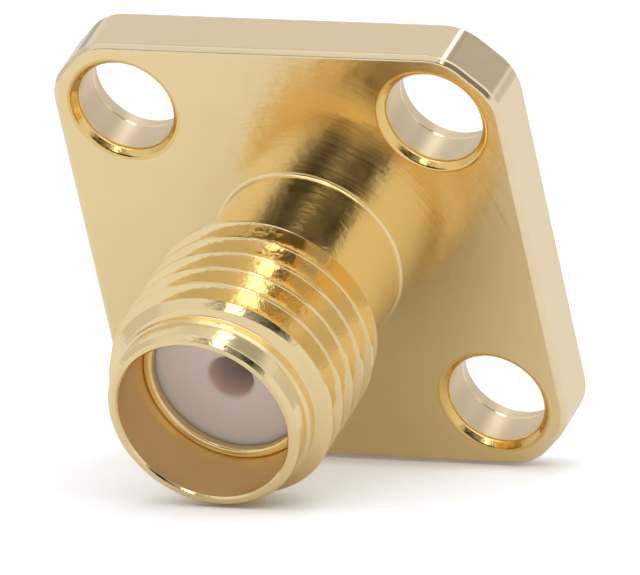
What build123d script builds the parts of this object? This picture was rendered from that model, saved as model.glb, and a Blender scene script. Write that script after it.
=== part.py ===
"""SMA jack on a square four-hole flange: body, insulator and centre contact.

Built nose up, with the barrel on +Z and the flange's rear face at Z = 0, then turned so that the nose points along
-Y and the flange stands upright. All sizes are in millimetres.
"""

import os
from math import pi, radians, tan

from build123d import *

# Flange
flange_width = 12.5
flange_thickness = 1.65
flange_corner_cut = 1.25
flange_corner_radius = 1.4
flange_edge_bevel = 0.12

# Mounting holes
hole_to_edge = 1.95
hole_diameter = 2.6
hole_front_bevel = 0.18
hole_rear_bevel = 0.09
hole_rear_bevel_length = 0.42

# Barrel, lengths and heights measured from the flange's front face, steps measured in from the thread's crests
barrel_length = 7.65
neck_step = 0.59
neck_fillet = 0.1
neck_length = 2.6
thread_major_diameter = 6.18
thread_pitch = 25.4 / 36
thread_depth = 0.43
thread_flank_angle = 20.0
thread_crest_flat = 0.09
thread_end = 6.46
thread_lead_in_length = 0.45
thread_run_outs = (0.48, 0.51, 0.39, 0.36, 0.42)
crest_height = 5.1
crest_angle = 52.4
nose_step = 0.49
nose_rim_bevel = 0.12

# Mating bore, and the insulator behind its shoulder
nose_wall = 0.3
bore_depth = 1.84
bore_mouth_bevel = 0.05
shoulder_width = 0.25
insulator_recess = 0.18
insulator_edge_bevel = 0.05
insulator_press_clearance = 0.0
pin_hole_diameter = 1.2

# Centre contact
contact_diameter = 1.27
contact_press_clearance = 0.0
contact_recess = 1.45
contact_mouth_bevel = 0.05
socket_diameter = 0.88
socket_depth = 2.6
slot_count = 4
slot_width = 0.12
slot_length = 2.0
collar_diameter = 1.9
collar_length = 0.8
collar_from_rear = 1.3
post_diameter = 0.9
post_length = 3.2
post_tip_bevel = 0.12

# Derived sizes
hole_pitch = flange_width - 2 * hole_to_edge
neck_diameter = thread_major_diameter - 2 * neck_step
nose_diameter = thread_major_diameter - 2 * nose_step
bore_diameter = nose_diameter - 2 * nose_wall
insulator_diameter = bore_diameter - 2 * shoulder_width
nose_tip = flange_thickness + barrel_length
shoulder_height = nose_tip - bore_depth
insulator_front = shoulder_height - insulator_recess
contact_front = insulator_front - contact_recess
thread_major_radius = thread_major_diameter / 2
thread_root_radius = thread_major_radius - thread_depth
thread_start = flange_thickness + neck_length
nose_start = flange_thickness + thread_end + thread_lead_in_length
thread_root_flat = thread_pitch - thread_crest_flat - 2 * thread_depth * tan(radians(thread_flank_angle))
relief_radius = thread_root_radius - 0.02
cutter_overshoot = 0.02
corner_tool = 1.0


def turned(*points):
    """A solid of revolution about Z from (radius, height) points."""
    outline = make_face(Polyline([(radius, 0, height) for radius, height in points], close=True))
    return revolve(outline, Axis.Z)


def rod(diameter, bottom, top):
    return turned((0, bottom), (diameter / 2, bottom), (diameter / 2, top), (0, top))


def make_flange():
    plate = Box(flange_width, flange_width, flange_thickness, align=(Align.CENTER, Align.CENTER, Align.MIN))
    plate = chamfer(plate.edges().filter_by(Axis.Z), flange_corner_cut)
    plate = fillet(plate.edges().filter_by(Axis.Z), flange_corner_radius)
    outline = plate.faces().sort_by(Axis.Z)[0].edges() + plate.faces().sort_by(Axis.Z)[-1].edges()
    return chamfer(outline, flange_edge_bevel)


def hole_cutter():
    """A drilled hole, broken at the front edge and opened by a shallow cone at the rear."""
    radius = hole_diameter / 2
    over = flange_thickness + corner_tool
    return turned(
        (0, -corner_tool),
        (radius + hole_rear_bevel, -corner_tool),
        (radius + hole_rear_bevel, 0),
        (radius, hole_rear_bevel_length),
        (radius, flange_thickness - hole_front_bevel),
        (radius + hole_front_bevel, flange_thickness),
        (radius + hole_front_bevel, over),
        (0, over),
    )


def make_neck():
    """Plain neck from the flange to the thread, with a small fillet at its root."""
    radius = neck_diameter / 2
    base = flange_thickness
    return turned(
        (0, 0),
        (radius, 0),
        (radius, base),
        (radius + neck_fillet, base),
        (radius, base + neck_fillet),
        (radius, thread_start),
        (0, thread_start),
    )


def make_nose():
    """Plain cylinder in front of the thread, with a bevelled rim."""
    radius = nose_diameter / 2
    return turned(
        (0, nose_start),
        (radius, nose_start),
        (radius, nose_tip - nose_rim_bevel),
        (radius - nose_rim_bevel, nose_tip),
        (0, nose_tip),
    )


def thread_cutter(run_out):
    """The V groove, swept along a helix that starts and ends clear of the metal.

    It is turned so that a crest stands at the crest height where it passes the crest angle.
    """
    below = thread_start - run_out
    above = nose_start + run_out
    groove_height = flange_thickness + crest_height + thread_pitch / 2
    start_angle = crest_angle - 360 * (groove_height - below) / thread_pitch
    path = Helix(pitch=thread_pitch, height=above - below, radius=thread_root_radius, center=(0, 0, below))
    flank_run = (thread_depth + cutter_overshoot) * tan(radians(thread_flank_angle))
    inner = thread_root_flat / 2
    outer = inner + flank_run
    outer_radius = thread_major_radius + cutter_overshoot
    groove = make_face(
        Polyline(
            (thread_root_radius, 0, below - inner),
            (outer_radius, 0, below - outer),
            (outer_radius, 0, below + outer),
            (thread_root_radius, 0, below + inner),
            close=True,
        )
    )
    return Rot(0, 0, start_angle) * sweep(groove, path=path, is_frenet=True)


def end_cutters():
    """Two cones that take the thread's ends down to the relief radius."""
    outside = thread_major_radius + corner_tool
    rise = outside - relief_radius
    lead_in = thread_lead_in_length * rise / (thread_major_radius - relief_radius)
    rear = turned(
        (relief_radius, thread_start),
        (relief_radius, thread_start - corner_tool),
        (outside, thread_start - corner_tool),
        (outside, thread_start + rise),
    )
    front = turned(
        (relief_radius, nose_start),
        (outside, nose_start - lead_in),
        (outside, nose_start + corner_tool),
        (relief_radius, nose_start + corner_tool),
    )
    return [rear, front]


def make_thread():
    """A plain rod with the groove cut in it, then its ends. A run-out that spoils the cut gives way to the next."""
    blank = rod(thread_major_diameter, thread_start, nose_start)
    turns = (nose_start - thread_start) / thread_pitch
    groove_area = thread_depth * (thread_root_flat + thread_depth * tan(radians(thread_flank_angle)))
    full_cut = turns * groove_area * 2 * pi * (thread_root_radius + thread_depth / 2)
    for run_out in thread_run_outs:
        grooved = blank - thread_cutter(run_out)
        removed = blank.volume - grooved.volume
        thread = grooved - end_cutters()
        if thread.is_valid and 0.9 * full_cut < removed < 1.1 * full_cut:
            return thread
    raise ValueError("no run-out gives a clean thread")


def bore_cutter():
    """Mating bore from the front, and the insulator's hole right through."""
    insulator_hole = insulator_diameter / 2 + insulator_press_clearance
    bore_radius = bore_diameter / 2
    over = nose_tip + corner_tool
    return turned(
        (0, -corner_tool),
        (insulator_hole, -corner_tool),
        (insulator_hole, shoulder_height),
        (bore_radius, shoulder_height),
        (bore_radius, nose_tip - bore_mouth_bevel),
        (bore_radius + bore_mouth_bevel, nose_tip),
        (bore_radius + bore_mouth_bevel, over),
        (0, over),
    )


def make_body():
    corner = hole_pitch / 2
    holes = [Pos(x, y) * hole_cutter() for x in (-corner, corner) for y in (-corner, corner)]
    return make_flange() + make_neck() + make_thread() + make_nose() - bore_cutter() - holes


def make_contact():
    """Socket at the front, collar held inside the insulator, post at the rear."""
    radius = contact_diameter / 2
    collar_radius = collar_diameter / 2
    post_radius = post_diameter / 2
    collar_top = collar_from_rear + collar_length
    contact = turned(
        (0, -post_length),
        (post_radius - post_tip_bevel, -post_length),
        (post_radius, -post_length + post_tip_bevel),
        (post_radius, 0),
        (radius, 0),
        (radius, collar_from_rear),
        (collar_radius, collar_from_rear),
        (collar_radius, collar_top),
        (radius, collar_top),
        (radius, contact_front - contact_mouth_bevel),
        (radius - contact_mouth_bevel, contact_front),
        (0, contact_front),
    )
    socket = rod(socket_diameter, contact_front - socket_depth, contact_front)
    slot = Box(contact_diameter, slot_width, slot_length, align=(Align.MIN, Align.CENTER, Align.MAX))
    slots = [Rot(0, 0, turn * 360 / slot_count) * Pos(0, 0, contact_front) * slot for turn in range(slot_count)]
    return contact - socket - slots


def make_insulator():
    """A plug flush with the flange's rear face, hollowed to fit round the contact, with a hole in front for a pin."""
    outer = insulator_diameter / 2
    inner = contact_diameter / 2 + contact_press_clearance
    collar = collar_diameter / 2 + contact_press_clearance
    plug = turned(
        (0, 0),
        (outer, 0),
        (outer, insulator_front - insulator_edge_bevel),
        (outer - insulator_edge_bevel, insulator_front),
        (0, insulator_front),
    )
    passage = rod(2 * inner, -corner_tool, contact_front)
    groove = rod(2 * collar, collar_from_rear, collar_from_rear + collar_length)
    pin_hole = rod(pin_hole_diameter, collar_from_rear, insulator_front + corner_tool)
    return plug - passage - groove - pin_hole


stand = Rot(90, 0, 0)
os.makedirs("parts", exist_ok=True)
for name, shape in (
    ("connector_body", make_body()),
    ("dielectric", make_insulator()),
    ("centre_contact", make_contact()),
):
    export_step(stand * shape, f"parts/{name}.step")
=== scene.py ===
"""Looks of the flange-mounted coaxial jack: finely bevelled gold skin, white insulator and slotted socket.

Sizes are in millimetres, with the nose up the Z axis and the flange's rear face at Z = 0. They are turned
into the shared frame, in metres, when a surface becomes an object. The camera is given in the shared frame,
and the light in degrees round the table that the object stands on.
"""

from collections import namedtuple
from math import asin, atan2, cos, hypot, pi, radians, sin, tan

import bpy
from mathutils import Matrix, Vector
from mathutils.geometry import tessellate_polygon


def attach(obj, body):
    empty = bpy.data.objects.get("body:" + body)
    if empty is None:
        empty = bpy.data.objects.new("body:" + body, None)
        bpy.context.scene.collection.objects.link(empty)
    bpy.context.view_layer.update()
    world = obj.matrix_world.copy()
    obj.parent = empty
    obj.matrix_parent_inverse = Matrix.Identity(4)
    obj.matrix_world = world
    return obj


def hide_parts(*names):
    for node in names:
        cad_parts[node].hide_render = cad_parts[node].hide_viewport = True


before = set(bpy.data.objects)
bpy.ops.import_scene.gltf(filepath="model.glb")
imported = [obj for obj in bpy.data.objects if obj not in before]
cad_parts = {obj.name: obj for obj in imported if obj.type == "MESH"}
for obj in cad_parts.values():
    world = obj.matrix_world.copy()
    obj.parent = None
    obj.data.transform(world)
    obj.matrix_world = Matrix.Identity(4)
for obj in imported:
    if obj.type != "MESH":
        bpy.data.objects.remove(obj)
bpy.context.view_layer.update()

METRES = 0.001
TURN = 2 * pi

# Flange
flange_width = 12.5
flange_thickness = 1.65
flange_corner_cut = 1.25
flange_corner_turn = 45
flange_corner_radius = 1.4
flange_edge_bevel = 0.12

# Mounting holes
hole_to_edge = 1.95
hole_diameter = 2.6
hole_front_bevel = 0.18
hole_rear_bevel = 0.09
hole_rear_bevel_length = 0.42

# Barrel. Lengths and heights start at the flange's front face, and steps go in from the thread's crests.
barrel_length = 7.65
neck_step = 0.59
neck_fillet = 0.1
neck_length = 2.6
thread_major_diameter = 6.18
thread_pitch = 25.4 / 36
thread_depth = 0.43
thread_flank_angle = 19.0
thread_crest_flat = 0.09
thread_crest_round = 0.025
thread_root_round = 0.05
thread_relief = 0.02
rear_cone_angle = 45
thread_end = 6.46
thread_lead_in_length = 0.45
crest_height = 5.1
crest_angle = 52.4
nose_step = 0.49
nose_foot_length = 0.09
nose_rim_bevel = 0.12

# Mating bore and insulator
nose_wall = 0.3
bore_depth = 1.84
bore_mouth_bevel = 0.05
shoulder_width = 0.25
shoulder_bead_height = 0.07
insulator_recess = 0.18
insulator_edge_round = 0.025
insulator_gap = 0.001
pin_hole_diameter = 1.2
pin_hole_edge_round = 0.13

# Centre contact
contact_diameter = 1.27
contact_recess = 1.45
contact_mouth_round = 0.05
contact_gap = 0.004
socket_diameter = 0.88
socket_depth = 2.6
drill_point_depth = 0.26
drill_point_end = 0.1
slot_count = 4
slot_width = 0.12
slot_length = 2.0
collar_diameter = 1.9
collar_length = 0.8
collar_from_rear = 1.3
post_diameter = 0.9
post_length = 3.2
post_tip_round = 0.12

# Softness of machined edges
bevel_turn = 45
edge_softness = 0.03
flange_softness = 0.09
lip_softness = 0.16
mouth_softness = 0.015
crease_length = 0.05
corner_crispness = 3.0

# Fineness of the surfaces. Points are told apart to so many digits of a millimetre.
point_digits = 6
barrel_segments = 240
hole_segments = 96
insulator_segments = 160
finger_segments = 20
corner_segments = 10
round_segments = 6
bead_segments = 16
flank_rows = 6
spare_turns = 3

# Derived sizes
hole_pitch = flange_width - 2 * hole_to_edge
crest_radius = thread_major_diameter / 2
root_radius = crest_radius - thread_depth
relief_radius = root_radius - thread_relief
neck_radius = crest_radius - neck_step
nose_radius = crest_radius - nose_step
bore_radius = nose_radius - nose_wall
insulator_radius = bore_radius - shoulder_width
hole_radius = hole_diameter / 2
nose_tip = flange_thickness + barrel_length
shoulder_height = nose_tip - bore_depth
insulator_front = shoulder_height - insulator_recess
contact_front = insulator_front - contact_recess
thread_start = flange_thickness + neck_length
nose_start = flange_thickness + thread_end + thread_lead_in_length

# The body's finishes, in the order of its materials
FACE, SIDE, HOLE, LIP, TURNED, BORE = range(6)
# The insulator and the contact have one finish each
ONLY = 0


class Skin:
    """A closed surface put together from strips and flats, with a normal for each corner of each face.

    A corner is a (point, normal) pair, and a loop is a list of them.
    """

    def __init__(self):
        self.points = []
        self.known = {}
        self.faces = []
        self.normals = []
        self.finishes = []

    def point(self, x, y, z):
        """The index of a point. One that is already there is used again, so that the surface closes."""
        key = (round(x, point_digits), round(y, point_digits), round(z, point_digits))
        if key not in self.known:
            self.known[key] = len(self.points)
            self.points.append((x, y, z))
        return self.known[key]

    def patch(self, corners, finish):
        """One face. Points that coincide are merged, and the face looks the way of its normals."""
        points = [self.point(*point) for point, _ in corners]
        kept = [k for k in range(len(points)) if points[k] != points[k - 1]]
        if len({points[k] for k in kept}) < 3:
            return
        points, normals = [points[k] for k in kept], [corners[k][1] for k in kept]
        a, b, c = (Vector(self.points[points[k]]) for k in (0, 1, 2))
        facing = (b - a).cross(c - a)
        if len(points) == 4:
            facing = (c - a).cross(Vector(self.points[points[3]]) - b)
        if facing.dot(sum((Vector(n) for n in normals), Vector())) < 0:
            points.reverse()
            normals.reverse()
        self.faces.append(points)
        self.normals.append(normals)
        self.finishes.append(finish)

    def strip(self, low, high, finish):
        """Faces between two closed loops with as many corners."""
        for i in range(len(low)):
            self.patch((low[i - 1], low[i], high[i], high[i - 1]), finish)

    def flat(self, loops, normal, finish):
        """A level face inside the first loop and outside the others."""
        points = [point for loop in loops for point, _ in loop]
        for triangle in tessellate_polygon([[Vector(point) for point, _ in loop] for loop in loops]):
            self.patch([(points[k], normal) for k in triangle], finish)

    def become(self, name, materials):
        """The finished object, in the shared frame."""
        mesh = bpy.data.meshes.new(name)
        mesh.from_pydata([(x * METRES, -z * METRES, y * METRES) for x, y, z in self.points], [], self.faces)
        for material in materials:
            mesh.materials.append(material)
        for polygon, finish in zip(mesh.polygons, self.finishes):
            polygon.material_index = finish
            polygon.use_smooth = True
        mesh.normals_split_custom_set(
            [Vector((x, -z, y)).normalized() for face in self.normals for x, y, z in face]
        )
        obj = bpy.data.objects.new(name, mesh)
        bpy.context.scene.collection.objects.link(obj)
        return obj


def circle(radius, height, radial, axial, segments, centre=(0, 0)):
    """A loop about a centre, whose normals lean radially and axially as given."""
    loop = []
    for i in range(segments):
        angle = TURN * i / segments
        c, s = cos(angle), sin(angle)
        point = (centre[0] + radius * c, centre[1] + radius * s, height)
        loop.append((point, (radial * c, radial * s, axial)))
    return loop


def arc(centre_radius, centre_height, radius, start, end, outward=1):
    """Profile points round a small arc, as (radius, height, radial, axial). Angles start straight out."""
    points = []
    for k in range(round_segments + 1):
        angle = radians(start + (end - start) * k / round_segments)
        c, s = cos(angle), sin(angle)
        points.append((centre_radius + radius * c, centre_height + radius * s, outward * c, outward * s))
    return points


def bevelled_edge(size, softness):
    """Profile of a bevel from a side to a face, as (outward, upward) from their corner and its normal.

    The two ridges of the bevel are lightly rounded, as polishing and plating leave them.
    """
    touch = softness * tan(radians(bevel_turn / 2))
    steps = round_segments // 2
    profile = []
    for outward, upward, start in ((-softness, -size - touch, 0), (-size - touch, -softness, bevel_turn)):
        for k in range(steps + 1):
            angle = radians(start + bevel_turn * k / steps)
            c, s = cos(angle), sin(angle)
            profile.append((outward + softness * c, upward + softness * s, c, s))
    return profile


def outer_edge(radius, height, size, softness):
    """Profile of a bevel on the outside of a rim."""
    return [(radius + u, height + v, nu, nv) for u, v, nu, nv in bevelled_edge(size, softness)]


def inner_edge(radius, height, size, softness):
    """Profile of a bevel round the mouth of a hole."""
    return [(radius - u, height + v, -nu, nv) for u, v, nu, nv in bevelled_edge(size, softness)]


def wall(*points):
    """Straight runs of profile through two or more points. The metal is on their left, going along them."""
    runs = []
    for (r0, h0), (r1, h1) in zip(points, points[1:]):
        length = hypot(r1 - r0, h1 - h0)
        radial, axial = (h1 - h0) / length, (r0 - r1) / length
        runs.append([(r0, h0, radial, axial), (r1, h1, radial, axial)])
    return runs


def lathe(skin, runs, segments, finish, centre=(0, 0)):
    """Strips round a centre along each run of profile points."""
    for run in runs:
        loops = [circle(*point, segments, centre) for point in run]
        for low, high in zip(loops, loops[1:]):
            skin.strip(low, high, finish)


def flange_outline(inset, height, sideways, axial):
    """The flange's eight-sided outline with rounded corners, moved in by an inset."""
    half, cut = flange_width / 2, flange_corner_cut
    reach = flange_corner_radius / cos(radians(flange_corner_turn / 2))
    radius = flange_corner_radius - inset
    loop = []
    for quarter in range(4):
        turn = quarter * pi / 2
        turn_c, turn_s = cos(turn), sin(turn)
        for k, (x, y) in enumerate(((half, half - cut), (half - cut, half))):
            # The arc of each corner is centred in from the two sides that it joins.
            first, last = radians(flange_corner_turn * k), radians(flange_corner_turn * (k + 1))
            middle = (first + last) / 2
            centre_x, centre_y = x - reach * cos(middle), y - reach * sin(middle)
            for step in range(corner_segments + 1):
                part = step / corner_segments
                angle = first + (last - first) * part
                px, py = centre_x + radius * cos(angle), centre_y + radius * sin(angle)
                # The shading turns in the middle of the arc, so that the sides beside it still look flat.
                shaded = min(max((part - 0.5) * corner_crispness + 0.5, 0.0), 1.0)
                lean = first + (last - first) * shaded + turn
                point = (px * turn_c - py * turn_s, px * turn_s + py * turn_c, height)
                loop.append((point, (sideways * cos(lean), sideways * sin(lean), axial)))
    return loop


def flange_edge(face_height, direction):
    """Loops of a bevelled edge of the flange, from side to face. The direction is 1 in front, -1 behind."""
    return [
        flange_outline(-u, face_height + direction * v, nu, direction * nv)
        for u, v, nu, nv in bevelled_edge(flange_edge_bevel, flange_softness)
    ]


def build_hole(skin, centre):
    """One mounting hole, from its rear cone to its front lip, and the loops of its front and rear mouths.

    The crease between the cone and the drill-cut wall is polished, and catches the light as a thin ring.
    """
    cone = atan2(hole_rear_bevel, hole_rear_bevel_length)
    bottom = hole_rear_bevel_length
    rear_radius = hole_radius + hole_rear_bevel
    lip = inner_edge(hole_radius, flange_thickness, hole_front_bevel, lip_softness)
    crease = [
        (hole_radius + crease_length * tan(cone), bottom - crease_length, -cos(cone), -sin(cone)),
        (hole_radius, bottom, -cos(cone / 2), -sin(cone / 2)),
        (hole_radius, bottom + crease_length, -1, 0),
    ]
    taper = [(rear_radius, 0, -cos(cone), -sin(cone)), crease[0]]
    shaft = [crease[-1], lip[0]]
    lathe(skin, [taper, shaft], hole_segments, HOLE, centre)
    lathe(skin, [crease], hole_segments, TURNED, centre)
    lathe(skin, [lip], hole_segments, LIP, centre)
    front = circle(lip[-1][0], flange_thickness, 0, 1, hole_segments, centre)
    rear = circle(rear_radius, 0, 0, -1, hole_segments, centre)
    return front, rear


def build_flange(skin):
    """The plate with its four holes, open in the middle for the neck in front and the insulator behind."""
    rear, front = flange_edge(0, -1), flange_edge(flange_thickness, 1)
    for loops in (rear, front):
        for low, high in zip(loops, loops[1:]):
            skin.strip(low, high, SIDE)
    skin.strip(rear[0], front[0], SIDE)
    front_loops, rear_loops = [front[-1]], [rear[-1]]
    half_pitch = hole_pitch / 2
    for x in (-half_pitch, half_pitch):
        for y in (-half_pitch, half_pitch):
            front_mouth, rear_mouth = build_hole(skin, (x, y))
            front_loops.append(front_mouth)
            rear_loops.append(rear_mouth)
    front_loops.append(circle(neck_radius + neck_fillet, flange_thickness, 0, 1, barrel_segments))
    rear_loops.append(circle(insulator_radius, 0, 0, -1, barrel_segments))
    skin.flat(front_loops, (0, 0, 1), FACE)
    skin.flat(rear_loops, (0, 0, -1), FACE)


def thread_profile():
    """One pitch of the thread, from groove to groove, as (height, radius, radial, axial)."""
    flank = radians(thread_flank_angle)
    flank_turn = pi / 2 - flank
    root_half = (thread_pitch - thread_crest_flat) / 2 - thread_depth * tan(flank)
    crest_start = root_half + thread_depth * tan(flank)
    # A round between a level line and a flank touches both of them this many radii from their corner.
    touch = tan(flank_turn / 2)
    steps = round_segments // 2
    root, crest = [], []
    for k in range(steps + 1):
        angle = flank_turn * k / steps
        height = root_half - thread_root_round * touch + thread_root_round * sin(angle)
        radius = root_radius + thread_root_round * (1 - cos(angle))
        root.append((height, radius, cos(angle), -sin(angle)))
        angle = flank_turn * (1 - k / steps)
        height = crest_start + thread_crest_round * touch - thread_crest_round * sin(angle)
        radius = crest_radius - thread_crest_round * (1 - cos(angle))
        crest.append((height, radius, cos(angle), -sin(angle)))
    (low_height, low_radius, *_), (high_height, high_radius, *_) = root[-1], crest[0]
    between = []
    for k in range(1, flank_rows):
        part = k / flank_rows
        height = low_height + (high_height - low_height) * part
        radius = low_radius + (high_radius - low_radius) * part
        between.append((height, radius, cos(flank_turn), -sin(flank_turn)))
    half = [(0, root_radius, 1, 0)] + root + between + crest
    half = [row for row in half if row[0] < thread_pitch / 2]
    mirrored = [(thread_pitch - h, r, radial, -axial) for h, r, radial, axial in reversed(half[1:])]
    return half + [(thread_pitch / 2, crest_radius, 1, 0)] + mirrored


def end_cone(height):
    """Radius that the two end cones leave at a height, and the lean of the one that sets it."""
    rise = crest_radius - relief_radius
    rear = relief_radius + (height - thread_start)
    front = relief_radius + (nose_start - height) * rise / thread_lead_in_length
    if rear < front:
        lean = radians(rear_cone_angle)
        return rear, (cos(lean), -sin(lean))
    lean = atan2(rise, thread_lead_in_length)
    return front, (cos(lean), sin(lean))


# A place on the thread: on its own surface, on an end cone, or on the edge between the two
THREAD, CONE, EDGE = range(3)
ThreadCorner = namedtuple("ThreadCorner", "point thread_normal cone_normal place")


def trimmed(rows):
    """One column cut off by the end cones, as (height, radius, place), with a row on each exact edge."""
    beyond_end = -thread_depth
    kept = []
    for height, r, _, _ in rows:
        clipped = min(max(height, thread_start), nose_start)
        limit, _ = end_cone(clipped)
        spare = limit - r if clipped == height else beyond_end
        kept.append([clipped, r if spare > 0 else limit, THREAD if spare > 0 else CONE, spare])
    for low, high in zip(kept, kept[1:]):
        places, spares = (low[2], high[2]), (low[3], high[3])
        if THREAD in places and CONE in places and beyond_end not in spares:
            part = low[3] / (low[3] - high[3])
            edge_height = low[0] + (high[0] - low[0]) * part
            limit, _ = end_cone(edge_height)
            nearer = low if part < 0.5 else high
            nearer[0], nearer[1], nearer[2] = edge_height, limit, EDGE
    return [(height, r, place) for height, r, place, _ in kept]


def thread_columns(profile):
    """Columns of thread corners round the barrel, whose rows climb with the helix.

    There are turns to spare at both ends, so that every column passes both end cones.
    """
    groove = flange_thickness + crest_height + thread_pitch / 2
    lowest = groove - thread_pitch * (int((groove - thread_start) / thread_pitch) + spare_turns)
    turns = int((nose_start - lowest) / thread_pitch) + spare_turns
    columns = []
    for i in range(barrel_segments):
        angle = TURN * i / barrel_segments
        lead = (angle - radians(crest_angle)) / TURN * thread_pitch
        c, s = cos(angle), sin(angle)
        rows = []
        for turn in range(turns):
            for h, r, radial, axial in profile:
                rows.append((lowest + lead + turn * thread_pitch + h, r, radial, axial))
        column = []
        for (height, r, place), (_, _, radial, axial) in zip(trimmed(rows), rows):
            swing = -axial * thread_pitch / (TURN * r)
            thread_normal = (radial * c - swing * s, radial * s + swing * c, axial)
            _, lean = end_cone(height)
            cone_normal = (lean[0] * c, lean[0] * s, lean[1])
            column.append(ThreadCorner((r * c, r * s, height), thread_normal, cone_normal, place))
        columns.append(column)
    return columns


def build_thread(skin):
    """Rows follow the helix, so each crest is one unbroken line. Both ends run out through the cones."""
    profile = thread_profile()
    columns = thread_columns(profile)
    for i, here in enumerate(columns):
        ahead = columns[(i + 1) % barrel_segments]
        # Past a full turn the same helix row is one turn higher up.
        shift = len(profile) if i == barrel_segments - 1 else 0
        for row in range(len(here) - 1 - shift):
            a, b, c, d = here[row], ahead[row + shift], ahead[row + 1 + shift], here[row + 1]
            if a.place == b.place == c.place == d.place:
                parts = [(a, b, c, d)]
            elif EDGE in (a.place, c.place):
                parts = [(a, b, c), (a, c, d)]
            else:
                parts = [(b, c, d), (b, d, a)]
            for part in parts:
                on_thread = any(corner.place == THREAD for corner in part)
                normals = [corner.thread_normal if on_thread else corner.cone_normal for corner in part]
                skin.patch([(corner.point, normal) for corner, normal in zip(part, normals)], TURNED)


def shoulder_bead():
    """Profile of the shoulder, a low bead that is staked over the insulator's edge."""
    middle, half = (bore_radius + insulator_radius) / 2, shoulder_width / 2
    profile = []
    for k in range(bead_segments + 1):
        c, s = cos(pi * k / bead_segments), sin(pi * k / bead_segments)
        lean = Vector((c / half, s / shoulder_bead_height)).normalized()
        profile.append((middle + half * c, shoulder_height + shoulder_bead_height * s, lean[0], lean[1]))
    return profile


def build_barrel(skin):
    """Neck, thread and nose outside, mating bore and insulator's hole inside."""
    fillet_top = flange_thickness + neck_fillet
    neck = [arc(neck_radius + neck_fillet, fillet_top, neck_fillet, 270, 180, outward=-1)]
    neck += wall((neck_radius, fillet_top), (neck_radius, thread_start), (relief_radius, thread_start))
    lathe(skin, neck, barrel_segments, TURNED)
    build_thread(skin)
    rim = outer_edge(nose_radius, nose_tip, nose_rim_bevel, edge_softness)
    mouth = inner_edge(bore_radius, nose_tip, bore_mouth_bevel, mouth_softness)
    nose = wall((relief_radius, nose_start), (nose_radius, nose_start + nose_foot_length), rim[0][:2])
    nose += [rim] + wall(rim[-1][:2], mouth[-1][:2]) + [mouth]
    lathe(skin, nose, barrel_segments, TURNED)
    lathe(skin, wall(mouth[0][:2], (bore_radius, shoulder_height)), barrel_segments, BORE)
    seat = [shoulder_bead()] + wall((insulator_radius, shoulder_height), (insulator_radius, 0))
    lathe(skin, seat, barrel_segments, TURNED)


def build_insulator(skin):
    """A plug with a soft-rimmed hole for the pin in front, hollowed out round the contact."""
    outer = insulator_radius - insulator_gap
    hole = pin_hole_diameter / 2
    passage = contact_diameter / 2 + contact_gap
    collar = collar_diameter / 2 + contact_gap
    collar_bottom = collar_from_rear - contact_gap
    collar_top = collar_from_rear + collar_length + contact_gap
    contact_top = contact_front + contact_gap
    top = insulator_front
    edge, lip = insulator_edge_round, pin_hole_edge_round
    plug = wall((passage, 0), (outer, 0), (outer, top - edge))
    plug += [arc(outer - edge, top - edge, edge, 0, 90)]
    plug += wall((outer - edge, top), (hole + lip, top))
    plug += [arc(hole + lip, top - lip, lip, 90, 180)]
    plug += wall(
        (hole, top - lip),
        (hole, contact_top),
        (passage, contact_top),
        (passage, collar_top),
        (collar, collar_top),
        (collar, collar_bottom),
        (passage, collar_bottom),
        (passage, 0),
    )
    lathe(skin, plug, insulator_segments, ONLY)


def finger_loop(radius, height, radial, axial):
    """A loop whose points bunch at the slots' edges, so that the fingers can rise from it."""
    half_slot = asin(slot_width / 2 / radius)
    loop = []
    for finger in range(slot_count):
        start = TURN * finger / slot_count + half_slot
        end = TURN * (finger + 1) / slot_count - half_slot
        for k in range(finger_segments + 1):
            angle = start + (end - start) * k / finger_segments
            c, s = cos(angle), sin(angle)
            loop.append(((radius * c, radius * s, height), (radial * c, radial * s, axial)))
    return loop


def finger_loops(run):
    return [finger_loop(*point) for point in run]


def build_fingers(skin, slot_floor):
    """The sprung fingers that stand on the slots' floor, built one by one on the same loops as the rest."""
    radius, socket, tip = contact_diameter / 2, socket_diameter / 2, contact_mouth_round
    per_finger = finger_segments + 1
    runs = wall((radius, slot_floor), (radius, contact_front - tip))
    runs += [arc(radius - tip, contact_front - tip, tip, 0, 90)]
    runs += wall((radius - tip, contact_front), (socket, contact_front), (socket, slot_floor))
    for run in runs:
        loops = finger_loops(run)
        for low, high in zip(loops, loops[1:]):
            for finger in range(slot_count):
                for k in range(finger * per_finger + 1, (finger + 1) * per_finger):
                    skin.patch((low[k - 1], low[k], high[k], high[k - 1]), ONLY)
    outer_floor, inner_floor = finger_loop(radius, slot_floor, 0, 1), finger_loop(socket, slot_floor, 0, 1)
    outline = [loop for run in runs for loop in finger_loops(run)]
    for finger in range(slot_count):
        last = (finger + 1) * per_finger - 1
        first = ((finger + 1) % slot_count) * per_finger
        skin.patch((outer_floor[last], outer_floor[first], inner_floor[first], inner_floor[last]), ONLY)
        # The two cheeks of each slot follow the finger's outline.
        angle = TURN * (finger + 1) / slot_count
        for index, side in ((last, 1), (first, -1)):
            cheek = [loop[index] for loop in outline]
            cheek = [corner for k, corner in enumerate(cheek) if corner[0] != cheek[k - 1][0]]
            skin.flat([cheek], (-side * sin(angle), side * cos(angle), 0), ONLY)


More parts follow.
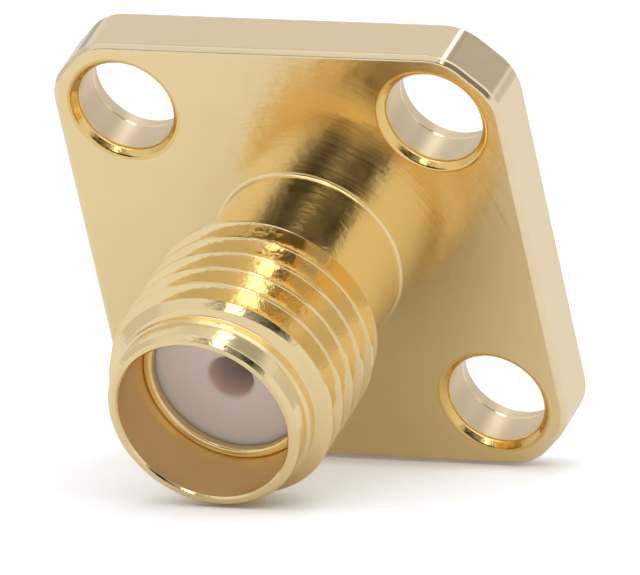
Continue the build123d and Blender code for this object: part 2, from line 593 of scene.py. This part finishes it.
def build_contact(skin):
    """Solder post at the rear, collar, and slotted socket that ends in a drill point."""
    radius, collar, post = contact_diameter / 2, collar_diameter / 2, post_diameter / 2
    socket = socket_diameter / 2
    collar_top = collar_from_rear + collar_length
    slot_floor = contact_front - slot_length
    socket_floor = contact_front - socket_depth
    round_top = -post_length + post_tip_round
    outside = [arc(post - post_tip_round, round_top, post_tip_round, -90, 0)]
    outside += wall(
        (post, round_top),
        (post, 0),
        (radius, 0),
        (radius, collar_from_rear),
        (collar, collar_from_rear),
        (collar, collar_top),
        (radius, collar_top),
        (radius, slot_floor),
    )
    drill_end = socket_floor - drill_point_depth * (1 - drill_point_end / socket)
    inside = wall((socket, slot_floor), (socket, socket_floor), (drill_point_end, drill_end))
    for run in outside + inside:
        loops = finger_loops(run)
        for low, high in zip(loops, loops[1:]):
            skin.strip(low, high, ONLY)
    skin.flat([finger_loop(post - post_tip_round, -post_length, 0, -1)], (0, 0, -1), ONLY)
    # The finger loops can't run to nothing, so the drill point closes on its last loop with triangles.
    last_loop = finger_loop(*inside[-1][-1])
    drill_tip = (0, 0, socket_floor - drill_point_depth)
    skin.strip(last_loop, [(drill_tip, normal) for _, normal in last_loop], ONLY)
    build_fingers(skin, slot_floor)


# Colours of the gold. Yellow is the plating's own colour. The others are copies of it that paint light and
# shade:
# painted light on the flange's sides, and painted shade on the hole walls, on the holes' front bevels and
# in the bore.
yellow = (0.94, 0.765, 0.445)
sides_painted_light = (0.93, 0.77, 0.54)
hole_walls_painted_shade = (0.84, 0.70, 0.51)
lips_painted_shade = (0.90, 0.64, 0.25)
bore_painted_shade = (0.92, 0.69, 0.36)
worn_tint = (0.97, 0.94, 0.86)

# Patterns in the gold. Scales are for metres, and heights are in millimetres.
grain_detail = 4.0
cloud_scale, cloud_detail = 900.0, 3.0
pit_scale, pit_detail = 9000.0, 2.0
pit_share = 0.25
wave_detail = 2.0
worn_from, worn_to = 0.35, 0.7

# Insulator, whose light scatters over these distances in millimetres for red, green and blue
white_tints = ((0.92, 0.80, 0.83, 1), (0.96, 0.85, 0.88, 1))
white_roughness = (0.42, 0.55)
white_scatter = (0.55, 0.38, 0.33)
white_cloud_scale, white_cloud_detail = 1500.0, 4.0
white_bump_height = 0.002

# Sockets of the mix node that carry colours
MIX_FIRST, MIX_SECOND, MIX_RESULT = 6, 7, 2


def new_material(name):
    """A material with its node tree and its main shader."""
    material = bpy.data.materials.new(name)
    material.use_nodes = True
    return material, material.node_tree, material.node_tree.nodes["Principled BSDF"]


def link(tree, from_node, from_socket, to_node, to_socket):
    tree.links.new(from_node.outputs[from_socket], to_node.inputs[to_socket])


def node(tree, kind, **values):
    """A shader node. Values named in_ and an input are set on that input, and others on the node."""
    made = tree.nodes.new(kind)
    for name, value in values.items():
        if name.startswith("in_"):
            key = name[3:]
            made.inputs[int(key) if key.isdigit() else key.replace("_", " ")].default_value = value
        else:
            setattr(made, name, value)
    return made


def math_node(tree, operation, *sources):
    """A sum or the like of what other nodes put out. A source is a (node, socket) pair."""
    made = node(tree, "ShaderNodeMath", operation=operation)
    for index, (source, socket) in enumerate(sources):
        link(tree, source, socket, made, index)
    return made


def mixed(tree, chooser, socket, otherwise, chosen):
    """One shader or another, as the chooser's socket says."""
    made = node(tree, "ShaderNodeMixShader")
    link(tree, chooser, socket, made, 0)
    link(tree, otherwise, 0, made, 1)
    link(tree, chosen, 0, made, 2)
    return made


def noise(tree, place, scale, detail):
    made = node(tree, "ShaderNodeTexNoise", in_Scale=scale, in_Detail=detail)
    link(tree, place, "Object", made, "Vector")
    return made


def tinted(tree, shader, cloud, first, second):
    """Gives the shader a colour that drifts between two tints with a cloudy noise."""
    tint = node(tree, "ShaderNodeMix", data_type="RGBA")
    tint.inputs[MIX_FIRST].default_value = first
    tint.inputs[MIX_SECOND].default_value = second
    link(tree, cloud, 0, tint, 0)
    link(tree, tint, MIX_RESULT, shader, "Base Color")


def stretched(tree, pattern, low, high, from_low=0.0, from_high=1.0):
    """A pattern whose values are stretched from one range to another."""
    made = node(tree, "ShaderNodeMapRange", in_1=from_low, in_2=from_high, in_3=low, in_4=high)
    link(tree, pattern, 0, made, 0)
    return made


def bump(tree, pattern, height, under=None):
    """Relief of a height in millimetres, laid over another relief if there is one."""
    made = node(tree, "ShaderNodeBump", in_Strength=1.0, in_Distance=height * METRES)
    link(tree, pattern, 0, made, "Height")
    if under:
        link(tree, under, 0, made, "Normal")
    return made


def across_grain(tree, place, grain):
    """What the machining lines are counted along: out from the axis for rings, or else along the axis."""
    split = node(tree, "ShaderNodeSeparateXYZ")
    link(tree, place, "Object", split, 0)
    if grain != "rings":
        return split, "Y"
    squares = [math_node(tree, "MULTIPLY", (split, axis), (split, axis)) for axis in ("X", "Z")]
    total = math_node(tree, "ADD", (squares[0], 0), (squares[1], 0))
    return math_node(tree, "SQRT", (total, 0)), 0


def gold(
    name, color, grain, grain_scale, grain_height, roughness, grain_roughness, wave_scale, wave_height
):
    """Gold plate over machined brass, with fine lines round the axis, worn clouds, pits and slow waves."""
    material, tree, shader = new_material(name)
    shader.inputs["Metallic"].default_value = 1.0
    place = node(tree, "ShaderNodeTexCoord")
    across, socket = across_grain(tree, place, grain)
    lines = node(
        tree, "ShaderNodeTexNoise", noise_dimensions="1D", in_Scale=grain_scale, in_Detail=grain_detail
    )
    link(tree, across, socket, lines, "W")
    cloud = noise(tree, place, cloud_scale, cloud_detail)
    pits = noise(tree, place, pit_scale, pit_detail)
    waves = noise(tree, place, wave_scale, wave_detail)

    lined = stretched(tree, lines, roughness, roughness + grain_roughness)
    worn = stretched(tree, cloud, 0.0, grain_roughness, worn_from, worn_to)
    link(tree, math_node(tree, "ADD", (lined, 0), (worn, 0)), 0, shader, "Roughness")

    worn_color = [part * worn_part for part, worn_part in zip(color, worn_tint)]
    tinted(tree, shader, cloud, (*color, 1), (*worn_color, 1))

    fine = bump(tree, lines, grain_height)
    coarse = bump(tree, pits, pit_share * grain_height, under=fine)
    wavy = bump(tree, waves, wave_height, under=coarse)
    link(tree, wavy, 0, shader, "Normal")
    return material


def white_insulator(name):
    """White fluoropolymer: waxy, faintly clouded, with light that scatters below its surface."""
    material, tree, shader = new_material(name)
    place = node(tree, "ShaderNodeTexCoord")
    cloud = noise(tree, place, white_cloud_scale, white_cloud_detail)
    tinted(tree, shader, cloud, *white_tints)
    link(tree, stretched(tree, cloud, *white_roughness), 0, shader, "Roughness")
    shader.inputs["Subsurface Weight"].default_value = 1.0
    shader.inputs["Subsurface Scale"].default_value = METRES
    shader.inputs["Subsurface Radius"].default_value = white_scatter
    link(tree, bump(tree, cloud, white_bump_height), 0, shader, "Normal")
    return material


gold_face = gold(
    "gold_face", yellow, grain="rings", grain_scale=9000.0, grain_height=0.0016,
    roughness=0.13, grain_roughness=0.07, wave_scale=2200.0, wave_height=0.008,
)
# painted light: the sides get a paler gold than the face, as bright light washes out their colour
gold_side = gold(
    "gold_side", sides_painted_light, grain="rings", grain_scale=9000.0, grain_height=0.0004,
    roughness=0.14, grain_roughness=0.04, wave_scale=2200.0, wave_height=0.003,
)
# painted shade: the hole walls get a darker gold than the sides, for the shade inside the holes
gold_hole = gold(
    "gold_hole", hole_walls_painted_shade, grain="along", grain_scale=9000.0, grain_height=0.0012,
    roughness=0.38, grain_roughness=0.06, wave_scale=4000.0, wave_height=0.004,
)
# painted shade and reflection: the holes' front bevels get a deeper, darker gold, for the shade and the
# mirrored gold at the holes' mouths
gold_lip = gold(
    "gold_lip", lips_painted_shade, grain="rings", grain_scale=9000.0, grain_height=0.0006,
    roughness=0.08, grain_roughness=0.05, wave_scale=6000.0, wave_height=0.006,
)
gold_turned = gold(
    "gold_turned", yellow, grain="along", grain_scale=12000.0, grain_height=0.0005,
    roughness=0.06, grain_roughness=0.05, wave_scale=6000.0, wave_height=0.005,
)
# painted shade: the bore gets a darker, deeper gold, for the shade and the gold-on-gold reflection deep
# inside it
gold_bore = gold(
    "gold_bore", bore_painted_shade, grain="along", grain_scale=12000.0, grain_height=0.0005,
    roughness=0.34, grain_roughness=0.05, wave_scale=5000.0, wave_height=0.002,
)
gold_contact = gold(
    "gold_contact", yellow, grain="along", grain_scale=12000.0, grain_height=0.0005,
    roughness=0.12, grain_roughness=0.05, wave_scale=5000.0, wave_height=0.002,
)
ptfe = white_insulator("ptfe")

body_skin = Skin()
build_flange(body_skin)
build_barrel(body_skin)
body = body_skin.become("gold_body", [gold_face, gold_side, gold_hole, gold_lip, gold_turned, gold_bore])
insulator_skin = Skin()
build_insulator(insulator_skin)
insulator = insulator_skin.become("white_insulator", [ptfe])
contact_skin = Skin()
build_contact(contact_skin)
contact = contact_skin.become("slotted_contact", [gold_contact])

for piece, replaced, slot in (
    (body, "connector_body", "gold_plate"),
    (insulator, "dielectric", "insulator"),
    (contact, "centre_contact", "contact_plate"),
):
    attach(piece, "root")
    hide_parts(replaced)

# Camera, with a long lens. Its turns about X, Y and Z are in degrees.
camera_place = (0.16483, -0.31319, 0.21295)
camera_turns = (58.096, 10.948, 21.123)
camera_lens = 902.8
camera_sensor_width = 36.0
camera_near, camera_far = 0.01, 5.0


def make_camera():
    data = bpy.data.cameras.new("camera")
    camera = bpy.data.objects.new("camera", data)
    bpy.context.scene.collection.objects.link(camera)
    bpy.context.scene.camera = camera
    data.sensor_width = camera_sensor_width
    data.lens = camera_lens
    data.clip_start, data.clip_end = camera_near, camera_far
    camera.location = camera_place
    camera.rotation_euler = [radians(turn) for turn in camera_turns]


make_camera()

# The table, which the flange's lower edge and the nose stand on. Its size is in metres.
table_slope = atan2(flange_width / 2 - nose_radius, barrel_length)
table_size = 0.6
table_gap = 0.01
table_color = (0.95, 0.95, 0.95, 1)
table_roughness = 0.6
table_seen_color = (0.93, 0.96, 1.0, 1)
shadow_reach = 1.2
shadow_lift = 0.31
shadow_samples = 16


def table_material():
    """A white table, lifted to white for the camera by a glow that fades close to the object, which paints
    a shadow there over its real one, and clear from below.
    """
    material, tree, shader = new_material("table_white")
    shader.inputs["Base Color"].default_value = table_color
    shader.inputs["Roughness"].default_value = table_roughness
    lit = node(tree, "ShaderNodeBsdfDiffuse", in_Color=table_seen_color)
    # painted shadow: the glow's strength follows occlusion, so the table darkens close to the object
    # whatever the lamps do
    painted_shadow_fade = node(tree, "ShaderNodeAmbientOcclusion", samples=shadow_samples)
    painted_shadow_fade.inputs["Distance"].default_value = shadow_reach * METRES
    gain = node(tree, "ShaderNodeMath", operation="MULTIPLY", in_1=shadow_lift)
    link(tree, painted_shadow_fade, "AO", gain, 0)
    lift = node(tree, "ShaderNodeEmission")
    link(tree, gain, 0, lift, "Strength")
    lifted = node(tree, "ShaderNodeAddShader")
    link(tree, lit, 0, lifted, 0)
    link(tree, lift, 0, lifted, 1)
    path = node(tree, "ShaderNodeLightPath")
    from_above = mixed(tree, path, "Is Camera Ray", shader, lifted)
    side = node(tree, "ShaderNodeNewGeometry")
    clear = node(tree, "ShaderNodeBsdfTransparent")
    shown = mixed(tree, side, "Backfacing", from_above, clear)
    link(tree, shown, 0, tree.nodes["Material Output"], 0)
    return material


def make_table():
    half = table_size / 2
    mesh = bpy.data.meshes.new("table")
    corners = [(-half, -half, 0), (half, -half, 0), (half, half, 0), (-half, half, 0)]
    mesh.from_pydata(corners, [], [(0, 1, 2, 3)])
    mesh.materials.append(table_material())
    table = bpy.data.objects.new("table", mesh)
    bpy.context.scene.collection.objects.link(table)
    table.location = (0, -flange_thickness * METRES, -(flange_width / 2 + table_gap) * METRES)
    table.rotation_euler = (-table_slope, 0, 0)


make_table()

# Light, from a white room with lighter and darker parts. A part has an azimuth right of straight in front,
# an elevation above the table, a half width and a soft edge, all in degrees, and a change of brightness.
room_level = 0.8
room_parts = [
    # the dark gap where the camera stands
    (8, -2, 27, 15, -0.8),
    # the broad lamp overhead in front
    (24, 54, 20, 26, 0.5),
    # shade on the left, high and low
    (-98, 62, 14, 16, -0.15),
    (-75, 6, 14, 16, -0.14),
    # shade behind, on the left and on the right
    (-149, -2, 8, 16, -0.16),
    (149, 50, 9, 10, -0.38),
    (143, 10, 9, 14, -0.16),
    # the small lamps behind and in front, for the bright spots
    (173, 60, 4, 5, 3.0),
    (7, 27, 3, 5, 2.2),
]


def over_table(azimuth, elevation):
    """A direction as a photographer gives it: degrees right of straight in front, and above the table."""
    a, e = radians(azimuth), radians(elevation)
    level = Matrix.Rotation(-table_slope, 3, "X")
    return level @ Vector((cos(e) * sin(a), -cos(e) * cos(a), sin(e)))


def room_part(tree, place, azimuth, elevation, half_width, softness, change):
    """The change that one part of the room makes in each direction."""
    middle = over_table(azimuth, elevation)
    toward = node(tree, "ShaderNodeVectorMath", operation="DOT_PRODUCT", in_1=middle)
    link(tree, place, "Generated", toward, 0)
    edge = node(
        tree,
        "ShaderNodeMapRange",
        interpolation_type="SMOOTHSTEP",
        in_1=cos(radians(half_width + softness)),
        in_2=cos(radians(half_width)),
        in_3=0.0,
        in_4=change,
    )
    link(tree, toward, "Value", edge, 0)
    return edge


def make_room():
    """The room lights the object and is mirrored in it. The camera sees plain white in its place."""
    world = bpy.data.worlds.new("studio")
    bpy.context.scene.world = world
    world.use_nodes = True
    tree = world.node_tree
    room = tree.nodes["Background"]
    room.inputs["Color"].default_value = (1, 1, 1, 1)
    place = node(tree, "ShaderNodeTexCoord")
    total = node(tree, "ShaderNodeValue")
    total.outputs[0].default_value = room_level
    for part in room_parts:
        total = math_node(tree, "ADD", (total, 0), (room_part(tree, place, *part), 0))
    link(tree, total, 0, room, "Strength")
    plain = node(tree, "ShaderNodeBackground", in_Color=(1, 1, 1, 1), in_Strength=1.0)
    path = node(tree, "ShaderNodeLightPath")
    shown = mixed(tree, path, "Is Camera Ray", room, plain)
    link(tree, shown, 0, tree.nodes["World Output"], 0)


bpy.context.scene.view_settings.view_transform = "Standard"
make_room()
